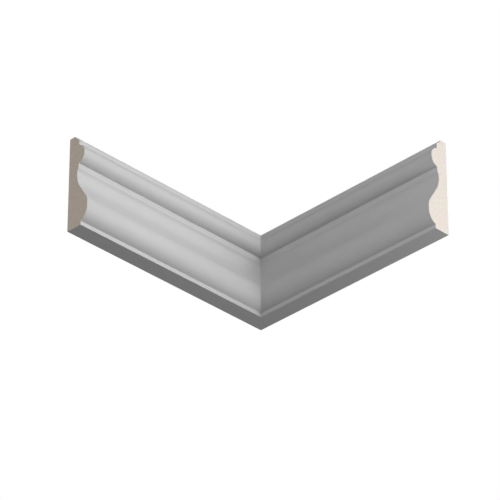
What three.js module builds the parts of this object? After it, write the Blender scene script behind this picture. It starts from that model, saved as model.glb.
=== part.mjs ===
// Two lengths of wall moulding, mitred together for an internal corner of a room.
// Each length is one moulded board: flat back, flat underside, and a face of bead, cove and belly.
// Millimetres, +Z up. The origin is the middle of the bounding box, on the underside.

import * as THREE from "three";

// Driving dimensions.
const height = 85;
const depth = 22;
const leftLength = 211;
const rightLength = 204;
const mitreGap = 0.3;
const arcStep = THREE.MathUtils.degToRad(4);

// The members of the face, from the underside up. A reach is measured out from the wall.
// The belly, the cove and the bead each have a low round and a high round, of their own radii,
// and stand plumb for a short way between the two.
const baseFillet = { reach: 15 };
const belly = { low: 14.4, lowRadius: 11.8, high: 18, highRadius: 12.9 };
const cove = { waist: 9.4, low: 48.3, lowRadius: 22.7, high: 49.7, highRadius: 6 };
const lowerFillet = { reach: 10.8 };
const bead = { reach: 17.2, low: 65.8, lowRadius: 7.4, high: 66.8, highRadius: 8.7 };
const upperFillet = { reach: 10.8, top: 79.9 };
const cavettoRadius = 14;
const topFlat = 5.9;

// Points along an arc, both ends included.
function arc(centre, radius, from, to) {
  const steps = Math.ceil(Math.abs(to - from) / arcStep);
  return Array.from({ length: steps + 1 }, (_, i) => {
    const angle = from + (to - from) * i / steps;
    return new THREE.Vector2(radius * Math.cos(angle), radius * Math.sin(angle)).add(centre);
  });
}

// The angle on a circle where it crosses a given reach.
const angleAt = (centre, radius, reach) => Math.acos((reach - centre.x) / radius);

// The belly swells out from the base fillet, turns back above its plumb flat, and runs straight
// along the inner tangent to the cove.
function bellyAndCove() {
  const foot = new THREE.Vector2(depth - belly.lowRadius, belly.low);
  const head = new THREE.Vector2(depth - belly.highRadius, belly.high);
  const coveCentre = new THREE.Vector2(cove.waist + cove.lowRadius, cove.low);
  const between = coveCentre.clone().sub(head);
  const radii = belly.highRadius + cove.lowRadius;
  const tangent = between.angle() - Math.acos(radii / between.length());
  return [
    ...arc(foot, belly.lowRadius, -angleAt(foot, belly.lowRadius, baseFillet.reach), 0),
    ...arc(head, belly.highRadius, 0, tangent),
    ...arc(coveCentre, cove.lowRadius, Math.PI + tangent, Math.PI),
  ];
}

// Above its waist the cove turns out on a much tighter round, and ends on the lower fillet.
function coveTop() {
  const centre = new THREE.Vector2(cove.waist + cove.highRadius, cove.high);
  return arc(centre, cove.highRadius, Math.PI, angleAt(centre, cove.highRadius, lowerFillet.reach));
}

// The bead stands between the two fillets.
function beadArc() {
  const foot = new THREE.Vector2(bead.reach - bead.lowRadius, bead.low);
  const head = new THREE.Vector2(bead.reach - bead.highRadius, bead.high);
  return [
    ...arc(foot, bead.lowRadius, -angleAt(foot, bead.lowRadius, lowerFillet.reach), 0),
    ...arc(head, bead.highRadius, 0, angleAt(head, bead.highRadius, upperFillet.reach)),
  ];
}

// A hollow from the upper fillet up to the top edge, with its centre out in front.
function cavetto() {
  const low = new THREE.Vector2(upperFillet.reach, upperFillet.top);
  const high = new THREE.Vector2(topFlat, height);
  const chord = high.clone().sub(low);
  const rise = Math.sqrt(cavettoRadius ** 2 - chord.lengthSq() / 4);
  const outward = new THREE.Vector2(chord.y, -chord.x).normalize();
  const centre = low.clone().add(high).multiplyScalar(0.5).addScaledVector(outward, rise);
  const from = low.clone().sub(centre).angle();
  const to = high.clone().sub(centre).angle();
  return arc(centre, cavettoRadius, from, to);
}

// The whole section: x is the reach from the wall, y the height.
const section = new THREE.Shape([
  new THREE.Vector2(0, 0),
  new THREE.Vector2(baseFillet.reach, 0),
  ...bellyAndCove(),
  ...coveTop(),
  ...beadArc(),
  ...cavetto(),
  new THREE.Vector2(0, height),
]);

// One length, run along the section's z from the wall's corner to its square cut end.
// The mitred end stands back from the corner by each point's own reach, at 45 degrees,
// and by half of the joint's gap besides.
function lengthGeometry(length) {
  const geometry = new THREE.ExtrudeGeometry(section, { depth: length, bevelEnabled: false });
  const points = geometry.attributes.position;
  const standBack = mitreGap / Math.SQRT2;
  for (let i = 0; i < points.count; i += 1) {
    if (points.getZ(i) < length / 2) points.setZ(i, points.getX(i) + standBack);
  }
  geometry.computeVertexNormals();
  return geometry;
}

// Factory primer, matt and a neutral light grey.
function primer() {
  return new THREE.MeshStandardMaterial({ color: 0xd1d1d1, roughness: 0.56, metalness: 0 });
}

// The wall's corner, seen from above: the left wall runs back along -Y, the right along +X.
const corner = new THREE.Vector3(-rightLength / 2, leftLength / 2, 0);

// The left length's face looks along +X, so reach is X, height is Z and the run is -Y.
const left = new THREE.Mesh(lengthGeometry(leftLength), primer());
left.name = "left_length";
left.rotation.x = Math.PI / 2;
left.position.copy(corner);

// The right length is the left one's mirror image across the mitre: reach is -Y, the run is +X.
// Mirroring turns each triangle round, so two of its corners change places.
function mirroredGeometry(length) {
  const geometry = lengthGeometry(length);
  const points = geometry.attributes.position;
  const corners = [0, 1, 2].map(() => new THREE.Vector3());
  for (let i = 0; i < points.count; i += 3) {
    corners.forEach((point, k) => point.fromBufferAttribute(points, i + k));
    const turned = [corners[0], corners[2], corners[1]];
    turned.forEach((point, k) => points.setXYZ(i + k, point.z, -point.x, point.y));
  }
  geometry.computeVertexNormals();
  return geometry;
}

const right = new THREE.Mesh(mirroredGeometry(rightLength), primer());
right.name = "right_length";
right.position.copy(corner);

const group = new THREE.Group();
group.add(left, right);
export default group;
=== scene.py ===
import math

import bmesh
import bpy
from mathutils import Matrix, Vector


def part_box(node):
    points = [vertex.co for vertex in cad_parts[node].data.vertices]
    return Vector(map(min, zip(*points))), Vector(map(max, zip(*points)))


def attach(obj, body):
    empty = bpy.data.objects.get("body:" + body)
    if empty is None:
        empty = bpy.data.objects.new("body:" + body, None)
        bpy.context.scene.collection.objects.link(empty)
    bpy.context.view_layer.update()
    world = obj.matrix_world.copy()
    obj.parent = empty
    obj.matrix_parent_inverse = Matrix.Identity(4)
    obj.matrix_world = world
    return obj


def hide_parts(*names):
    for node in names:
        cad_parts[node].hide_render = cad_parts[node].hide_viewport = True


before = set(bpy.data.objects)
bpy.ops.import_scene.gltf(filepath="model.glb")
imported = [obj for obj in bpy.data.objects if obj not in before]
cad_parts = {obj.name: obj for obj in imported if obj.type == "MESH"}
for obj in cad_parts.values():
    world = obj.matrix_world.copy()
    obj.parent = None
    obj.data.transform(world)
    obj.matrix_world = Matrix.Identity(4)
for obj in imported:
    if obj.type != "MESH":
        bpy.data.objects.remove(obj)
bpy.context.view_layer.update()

# The camera stands below the moulding and looks up into the room's corner, as someone on the
# floor looks at the top of a wall. It comes first, because everything is judged from there.

mm = 0.001
aim = Vector((-9.5, 0.6, -10.4)) * mm
camera_distance = 2.737
camera_azimuth = math.radians(45)
camera_elevation = math.radians(-31.81)

camera = bpy.data.objects.new("camera", bpy.data.cameras.new("camera"))
camera.data.lens = 256.2
camera.data.sensor_width = 36
camera.data.clip_end = 20
back = Vector((
    math.sin(camera_azimuth) * math.cos(camera_elevation),
    -math.cos(camera_azimuth) * math.cos(camera_elevation),
    math.sin(camera_elevation),
))
camera.rotation_mode = "QUATERNION"
camera.rotation_quaternion = (-back).to_track_quat("-Z", "Y")
camera.location = aim + back * camera_distance
bpy.context.scene.collection.objects.link(camera)
bpy.context.scene.camera = camera


# The left length is one board of medium-density fibre board, run through a moulder: flat back,
# flat underside, and a face of base fillet, belly, cove, fillet, bead, fillet and cavetto.
# It is primed at the factory, mitred for the room's corner and sawn square at its other end.

left_low, left_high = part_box("left_length")
right_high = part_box("right_length")[1]
corner = Vector((left_low.x, right_high.y, 0))
height = left_high.z
depth = left_high.x - left_low.x

base_reach = 15 * mm
belly_low = 14.4 * mm
belly_low_radius = 11.8 * mm
belly_high = 18 * mm
belly_high_radius = 12.9 * mm
cove_waist = 9.4 * mm
cove_low = 48.3 * mm
cove_low_radius = 22.7 * mm
cove_high = 49.7 * mm
cove_high_radius = 6 * mm
lower_fillet_reach = 10.8 * mm
bead_reach = 17.2 * mm
bead_low = 65.8 * mm
bead_low_radius = 7.4 * mm
bead_high = 66.8 * mm
bead_high_radius = 8.7 * mm
upper_fillet_reach = 10.8 * mm
upper_fillet_top = 79.9 * mm
cavetto_radius = 14 * mm
top_flat = 5.9 * mm

arc_step = math.radians(2.5)
arris_radius = 0.3 * mm
arris_segments = 3
mitre_gap = 0.01 * mm
primer_coat = 0.25 * mm
sharp_angle = math.radians(12)


def line_to(bm, vert, reach, rise):
    """Draws a straight member of the section, from one point to the next."""
    drawn = bmesh.ops.extrude_vert_indiv(bm, verts=[vert])["verts"][0]
    drawn.co = (reach, 0, rise)
    return drawn


def swing(bm, vert, centre, end_angle):
    """Draws a round member: the point swings about a centre until it stands at an angle."""
    arm = vert.co - centre
    turn = math.remainder(end_angle - math.atan2(arm.z, arm.x), math.tau)
    steps = math.ceil(abs(turn) / arc_step)
    spun = bmesh.ops.spin(
        bm, geom=[vert], cent=centre, axis=(0, -1, 0), angle=turn, steps=steps
    )
    return next(item for item in spun["geom_last"] if isinstance(item, bmesh.types.BMVert))


def angle_at(centre, radius, reach):
    """The angle on a circle where it crosses a given reach."""
    return math.acos((reach - centre.x) / radius)


def on_circle(centre, radius, angle):
    """The reach and the height of a point on a circle."""
    return centre.x + radius * math.cos(angle), centre.z + radius * math.sin(angle)


def draw_section(bm):
    """Draws the moulding's section, reach along X and height along Z, and fills it."""
    belly_foot = Vector((depth - belly_low_radius, 0, belly_low))
    belly_head = Vector((depth - belly_high_radius, 0, belly_high))
    cove_foot = Vector((cove_waist + cove_low_radius, 0, cove_low))
    cove_head = Vector((cove_waist + cove_high_radius, 0, cove_high))
    bead_foot = Vector((bead_reach - bead_low_radius, 0, bead_low))
    bead_head = Vector((bead_reach - bead_high_radius, 0, bead_high))

    first = bm.verts.new((0, 0, 0))
    vert = line_to(bm, first, base_reach, 0)
    start = -angle_at(belly_foot, belly_low_radius, base_reach)
    vert = line_to(bm, vert, *on_circle(belly_foot, belly_low_radius, start))
    vert = swing(bm, vert, belly_foot, 0)
    vert = line_to(bm, vert, depth, belly_high)
    between = cove_foot - belly_head
    radii = belly_high_radius + cove_low_radius
    tangent = math.atan2(between.z, between.x) - math.acos(radii / between.length)
    vert = swing(bm, vert, belly_head, tangent)
    vert = line_to(bm, vert, *on_circle(cove_foot, cove_low_radius, math.pi + tangent))
    vert = swing(bm, vert, cove_foot, math.pi)
    vert = line_to(bm, vert, cove_waist, cove_high)
    vert = swing(bm, vert, cove_head, angle_at(cove_head, cove_high_radius, lower_fillet_reach))
    start = -angle_at(bead_foot, bead_low_radius, lower_fillet_reach)
    vert = line_to(bm, vert, *on_circle(bead_foot, bead_low_radius, start))
    vert = swing(bm, vert, bead_foot, 0)
    vert = line_to(bm, vert, bead_reach, bead_high)
    vert = swing(bm, vert, bead_head, angle_at(bead_head, bead_high_radius, upper_fillet_reach))
    vert = line_to(bm, vert, upper_fillet_reach, upper_fillet_top)

    low = Vector((upper_fillet_reach, 0, upper_fillet_top))
    high = Vector((top_flat, 0, height))
    chord = high - low
    outward = Vector((chord.z, 0, -chord.x)).normalized()
    rise = math.sqrt(cavetto_radius ** 2 - chord.length_squared / 4)
    cavetto = (low + high) / 2 + outward * rise
    vert = swing(bm, vert, cavetto, math.atan2(high.z - cavetto.z, high.x - cavetto.x))
    vert = line_to(bm, vert, 0, height)
    bm.edges.new((vert, first))
    bmesh.ops.contextual_create(bm, geom=bm.edges[:])


def soften_arrises(bm, run):
    """Rounds the outer long edges a little, as sanding does. The inner corners stay crisp."""
    arrises = [
        edge for edge in bm.edges
        if edge.calc_length() > run / 2
        and edge.is_convex
        and edge.calc_face_angle(0) > sharp_angle
    ]
    bmesh.ops.bevel(
        bm, geom=arrises, offset=arris_radius, offset_type="OFFSET", affect="EDGES",
        segments=arris_segments, profile=0.5, material=-1,
    )


def moulded_length(run):
    """One length as a bmesh, in the left wall's place: back on the corner's wall, run along -Y."""
    bm = bmesh.new()
    draw_section(bm)
    pushed = bmesh.ops.extrude_face_region(bm, geom=bm.faces[:])["geom"]
    moved = [item for item in pushed if isinstance(item, bmesh.types.BMVert)]
    bmesh.ops.translate(bm, verts=moved, vec=(0, -run, 0))
    bmesh.ops.recalc_face_normals(bm, faces=bm.faces[:])
    soften_arrises(bm, run)

    mitre = Vector((1, 1, 0)).normalized()
    cut = bmesh.ops.bisect_plane(
        bm, geom=bm.verts[:] + bm.edges[:] + bm.faces[:], plane_co=-mitre * mitre_gap / 2,
        plane_no=mitre, clear_outer=True,
    )["geom_cut"]
    outline = [item for item in cut if isinstance(item, bmesh.types.BMEdge)]
    bmesh.ops.contextual_create(bm, geom=outline)
    bmesh.ops.recalc_face_normals(bm, faces=bm.faces[:])
    return bm


# The primer is a matt acrylic coat, sprayed on the face, the top edge and the underside.
# It levels out well, but the moulder's fine lines still run lengthwise under it.

class Link:
    """A node's output. Sums and products of links add Math nodes to the same material."""

    def __init__(self, finish, socket):
        self.finish = finish
        self.socket = socket

    def maths(self, operation, other):
        settings = {"operation": operation}
        return self.finish.node("ShaderNodeMath", "Value", settings, {0: self, 1: other})

    def __add__(self, other):
        return self.maths("ADD", other)

    def __mul__(self, other):
        return self.maths("MULTIPLY", other)

    __radd__ = __add__
    __rmul__ = __mul__


class Finish:
    """A material in the making, on one Principled shader."""

    def __init__(self, name, **constants):
        self.material = bpy.data.materials.new(name)
        self.material.use_nodes = True
        self.tree = self.material.node_tree
        self.shader = self.tree.nodes["Principled BSDF"]
        for socket, value in constants.items():
            self.shader.inputs[socket.replace("_", " ")].default_value = value
        self.place = self.node("ShaderNodeTexCoord", "Object")

    def node(self, kind, output, settings=None, inputs=None):
        """Adds a node: its settings first, then a value or a link for each socket it names."""
        made = self.tree.nodes.new(kind)
        for setting, value in (settings or {}).items():
            setattr(made, setting, value)
        for key, value in (inputs or {}).items():
            socket = next(
                s for i, s in enumerate(made.inputs) if key in (i, s.identifier) or key == s.name
            )
            if isinstance(value, Link):
                self.tree.links.new(value.socket, socket)
            else:
                socket.default_value = value
        socket = next(s for s in made.outputs if output in (s.identifier, s.name))
        return Link(self, socket)

    def noise(self, size, place=None, detail=2.0, roughness=0.5):
        """Soft random values from 0 to 1, in patches of about one size."""
        return self.node("ShaderNodeTexNoise", "Fac", {}, {
            "Vector": place or self.place,
            "Scale": 1 / size,
            "Detail": detail,
            "Roughness": roughness,
        })

    def vector_maths(self, operation, first, second, output="Vector"):
        """Works two vectors together."""
        settings = {"operation": operation}
        return self.node("ShaderNodeVectorMath", output, settings, {0: first, 1: second})

    def stretched(self, along, length):
        """Object coordinates drawn out along a direction, for streaks."""
        shrink = Vector((1, 1, 1)) - Vector(map(abs, along)) * (1 - 1 / length)
        return self.vector_maths("MULTIPLY", self.place, shrink)

    def distance_along(self, direction):
        """How far a point lies from the wall's corner in a direction."""
        away = self.vector_maths("SUBTRACT", self.place, corner)
        return self.vector_maths("DOT_PRODUCT", away, direction, output="Value")

    def ramp(self, value, low, high, to_low=0.0, to_high=1.0):
        """Takes one range of values to another, and holds it at the ends."""
        return self.node("ShaderNodeMapRange", "Result", {}, {
            "Value": value,
            "From Min": low,
            "From Max": high,
            "To Min": to_low,
            "To Max": to_high,
        })

    def mix(self, factor, first, second):
        """Blends two colours."""
        return self.node("ShaderNodeMix", "Result_Color", {"data_type": "RGBA"}, {
            "Factor_Float": factor, "A_Color": first, "B_Color": second,
        })

    def feed(self, socket, link):
        self.tree.links.new(link.socket, self.shader.inputs[socket])

    def relief(self, rise):
        """Feeds a height in metres to the shader's normal."""
        bump = self.node("ShaderNodeBump", "Normal", {}, {
            "Strength": 1.0, "Distance": 1.0, "Height": rise,
        })
        self.feed("Normal", bump)


board_colour = (0.80, 0.712, 0.62)
primer_colour = (0.642, 0.642, 0.642, 1)
primer_thin_colour = (0.615, 0.615, 0.613, 1)
streak_width = 0.9 * mm
streak_stretch = 60
streak_relief = 0.008 * mm
cloud_size = 14 * mm
stipple_size = 0.7 * mm
stipple_relief = 0.010 * mm
speck_size = 0.8 * mm
saw_lift = 0.4 * mm


def primer(name, along, run):
    """Primer on one length: streaks along the run, and specks that the saw lifts at the end."""
    coat = Finish(name, IOR=1.45)
    streaks = coat.noise(streak_width, coat.stretched(along, streak_stretch), detail=3)
    cloud = coat.noise(cloud_size)
    thin = coat.ramp(streaks * 0.6 + cloud * 0.4, 0.45, 0.75)
    colour = coat.mix(thin, primer_colour, primer_thin_colour)
    ragged = coat.distance_along(along) + coat.noise(speck_size, detail=3) * saw_lift
    lifted = coat.ramp(ragged, run + saw_lift * 0.50, run + saw_lift * 0.58)
    coat.feed("Base Color", coat.mix(lifted, colour, (*board_colour, 1)))
    coat.feed("Roughness", coat.ramp(cloud, 0.3, 0.7, 0.50, 0.62))
    coat.relief(coat.noise(stipple_size) * stipple_relief + streaks * streak_relief)
    return coat.material


def tinted(colour, red, green, blue):
    """A board's colour with each of its parts scaled."""
    return colour[0] * red, colour[1] * green, colour[2] * blue, 1


shaded_fibre = (0.80, 0.78, 0.75)


def flecked(board, colour, patch, fleck):
    """Matted fibres: greenish and pinkish patches, with darker and paler flecks in them."""
    greenish = tinted(colour, 0.98, 1.01, 0.975)
    pinkish = tinted(colour, 1.016, 0.988, 1.03)
    pale = tinted(colour, 1.16, 1.18, 1.20)
    patches = board.ramp(board.noise(patch, detail=1), 0.40, 0.60)
    dark_flecks = board.ramp(board.noise(fleck, detail=2), 0.56, 0.70, 0, 0.65)
    pale_flecks = board.ramp(board.noise(fleck * 0.8, detail=1), 0.60, 0.72, 0, 0.95)
    tint = board.mix(patches, greenish, pinkish)
    tint = board.mix(dark_flecks, tint, tinted(colour, *shaded_fibre))
    return board.mix(pale_flecks, tint, pale)


sawn_fibre_size = 0.6 * mm
sawn_fibre_relief = 0.05 * mm
saw_line_width = 0.5 * mm
saw_line_stretch = 40
saw_line_relief = 0.02 * mm


def sawn_board(name, colour):
    """Bare board where the saw has been: matted fibres under the fine marks of its teeth."""
    board = Finish(name, Roughness=0.9, IOR=1.4)
    fibres = board.noise(sawn_fibre_size, detail=4, roughness=0.65)
    flecks = flecked(board, colour, patch=7 * mm, fleck=1.7 * mm)
    shade = board.ramp(fibres, 0.4, 0.7, 0, 0.25)
    board.feed("Base Color", board.mix(shade, flecks, tinted(colour, *shaded_fibre)))
    saw_lines = board.noise(saw_line_width, board.stretched((0, 0, 1), saw_line_stretch))
    board.relief(fibres * sawn_fibre_relief + saw_lines * saw_line_relief)
    return board.material


back_colour = (0.68, 0.575, 0.465)
sanded_fibre_size = 0.5 * mm
sanded_fibre_relief = 0.02 * mm
overspray = 9 * mm
mist_size = 1.2 * mm


def bare_back(name):
    """The board's sanded back, bare but for the mist of primer that drifts round both edges."""
    board = Finish(name, IOR=1.4)
    fibres = board.noise(sanded_fibre_size, detail=5, roughness=0.7)
    flecks = flecked(board, back_colour, patch=22 * mm, fleck=2.2 * mm)
    shade = board.ramp(fibres, 0.35, 0.70, 0, 0.6)
    bare = board.mix(shade, flecks, tinted(back_colour, 0.76, 0.72, 0.68))
    rise = board.distance_along((0, 0, 1))
    near_foot = board.ramp(rise, 0, overspray, 1, 0)
    near_head = board.ramp(rise, height - overspray, height)
    drift = board.noise(mist_size, detail=4) * 0.8
    mist = board.ramp(near_foot + near_head + drift, 0.70, 1.40)
    board.feed("Base Color", board.mix(mist, bare, primer_thin_colour))
    board.feed("Roughness", board.ramp(mist, 0, 1, 0.78, 0.6))
    board.relief(fibres * sanded_fibre_relief)
    return board.material


PRIMED, SAWN, BACK = range(3)
facing_wall = 0.9
facing_along = 0.1


def paint_faces(bm):
    """Primer all round but for the back, bare sawn board on the end and the mitre."""
    for face in bm.faces:
        if face.normal.x < -facing_wall:
            face.material_index = BACK
        elif abs(face.normal.y) > facing_along:
            face.material_index = SAWN
        else:
            face.material_index = PRIMED


def coat_edge_on(bm):
    """Shows the primer's thickness round the sawn end, as a rim just inside its outline."""
    end = min(bm.faces, key=lambda face: face.calc_center_median().y)
    ring = bmesh.ops.inset_region(
        bm, faces=[end], thickness=primer_coat, use_even_offset=True, use_boundary=True
    )["faces"]
    for face in ring:
        beside = [other for edge in face.edges for other in edge.link_faces if other not in ring]
        primed = any(other.material_index == PRIMED for other in beside)
        face.material_index = PRIMED if primed else SAWN


def painted_length(run):
    """A length whose faces are told apart: primed, sawn and back."""
    bm = moulded_length(run)
    paint_faces(bm)
    coat_edge_on(bm)
    return bm


def finish_length(bm, name, materials):
    """Makes the object and shades its rounds smooth."""
    for edge in bm.edges:
        edge.smooth = edge.calc_face_angle(0) < sharp_angle
    for face in bm.faces:
        face.smooth = True
    mesh = bpy.data.meshes.new(name)
    bm.to_mesh(mesh)
    bm.free()
    for material in materials:
        mesh.materials.append(material)
    piece = bpy.data.objects.new(name, mesh)
    bpy.context.scene.collection.objects.link(piece)
    return piece


left_run = corner.y - left_low.y
bm = painted_length(left_run)
bmesh.ops.translate(bm, verts=bm.verts, vec=corner)
left = finish_length(bm, "left_moulding", [
    primer("primer_left", (0, -1, 0), left_run),
    # The left end gets a warmer tint than the right for the same board: painted shade, for the end
    # that faces away from the lamps.
    sawn_board("board_left", tinted(board_colour, 1.03, 1, 0.965)),
    bare_back("back_left"),
])
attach(left, "root")
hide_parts("left_length")


# The right length is the same moulding on the other wall. It is cut to the opposite mitre, so it
# is the left one's mirror image across the joint, with its own length.

right_run = right_high.x - corner.x
across_mitre = Matrix(((0, -1, 0), (-1, 0, 0), (0, 0, 1)))
bm = painted_length(right_run)
bmesh.ops.transform(bm, matrix=across_mitre.to_4x4(), verts=bm.verts)
bmesh.ops.reverse_faces(bm, faces=bm.faces[:])
bmesh.ops.translate(bm, verts=bm.verts, vec=corner)
right = finish_length(bm, "right_moulding", [
    primer("primer_right", (1, 0, 0), right_run),
    # The right end gets a cooler, paler tint than the left for the same board: a painted
    # highlight, for the end that faces the lamps.
    sawn_board("board_right", tinted(board_colour, 0.97, 1, 1.04)),
    bare_back("back_right"),
])
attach(right, "root")
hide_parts("right_length")


# A plain pale floor, well below the camera, which looks up at a moulding that is seen overhead.
# Its own glow keeps it as pale as the surround. It throws nothing back on the moulding, so it
# leaves the underside in shade.

floor_drop = 2.4
floor_size = 24
floor_colour = (0.85, 0.85, 0.85, 1)
floor_glow = 0.65
white = (1, 1, 1, 1)

bm = bmesh.new()
bmesh.ops.create_grid(bm, x_segments=1, y_segments=1, size=floor_size / 2)
bmesh.ops.translate(bm, verts=bm.verts, vec=(0, 0, -floor_drop))
mesh = bpy.data.meshes.new("floor")
bm.to_mesh(mesh)
bm.free()
floor = bpy.data.objects.new("floor", mesh)
floor_paint = bpy.data.materials.new("floor")
floor_paint.use_nodes = True
floor_shader = floor_paint.node_tree.nodes["Principled BSDF"]
floor_shader.inputs["Base Color"].default_value = floor_colour
floor_shader.inputs["Emission Color"].default_value = white
floor_shader.inputs["Emission Strength"].default_value = floor_glow
mesh.materials.append(floor_paint)
floor.visible_diffuse = False
floor.visible_glossy = False
floor.visible_shadow = False
bpy.context.scene.collection.objects.link(floor)


# A white surround behind everything. The camera sees it, but it gives no light of its own, so
# the lamps alone shade the moulding.

surround = bpy.data.worlds.new("surround")
surround.use_nodes = True
background = surround.node_tree.nodes["Background"]
background.inputs["Color"].default_value = white
seen_by_camera = surround.node_tree.nodes.new("ShaderNodeLightPath").outputs["Is Camera Ray"]
surround.node_tree.links.new(seen_by_camera, background.inputs["Strength"])
bpy.context.scene.world = surround
bpy.context.scene.view_settings.view_transform = "Standard"


# Soft studio light: broad banks far off on every side, and five small soft lamps nearer by.
# The back bank reaches nothing that the camera sees.

def hang(lamp, towards):
    """Turns a lamp so that it shines from its side of the moulding."""
    lamp.rotation_mode = "QUATERNION"
    lamp.rotation_quaternion = towards.to_track_quat("Z", "Y")
    bpy.context.scene.collection.objects.link(lamp)


def bank(name, strength, azimuth, elevation, spread):
    """A broad bank of light far off, at an angle round from +X and up from the horizon."""
    lamp = bpy.data.objects.new(name, bpy.data.lights.new(name, "SUN"))
    lamp.data.energy = strength
    lamp.data.angle = math.radians(spread)
    around, up = math.radians(azimuth), math.radians(elevation)
    hang(lamp, Vector((
        math.cos(around) * math.cos(up), math.sin(around) * math.cos(up), math.sin(up)
    )))


softbox_width = 0.15
softbox_target = Vector((0.03, 0.06, 0.04))


def softbox(name, watts, place):
    """A small soft lamp near the moulding, turned to a point in front of its corner."""
    lamp = bpy.data.objects.new(name, bpy.data.lights.new(name, "AREA"))
    lamp.data.energy = watts
    lamp.data.size = softbox_width
    lamp.location = place
    lamp.visible_camera = False
    hang(lamp, Vector(place) - softbox_target)


bank("front_bank", 0.67, -90, 0, 90)
bank("left_bank", 0.61, -150, 0, 90)
bank("side_bank", 0.94, 30, 0, 90)
bank("low_bank", 0.44, 60, -30, 90)
bank("high_bank", 0.44, 45, 35, 40)
bank("under_bank", 0.10, -105, -60, 40)
bank("back_bank", 1.6, 135, 25, 40)
softbox("end_softbox", 1.34, (0.8, 0, 0.3))
softbox("high_softbox", 0.97, (0.8, 0.2, 0.5))
softbox("front_softbox", 2.7, (1.0, -0.5, 0.2))
softbox("underside_softbox", 0.13, (0.3, 0.1, -0.2))
softbox("low_softbox", 0.11, (0.3, 0.25, -0.2))
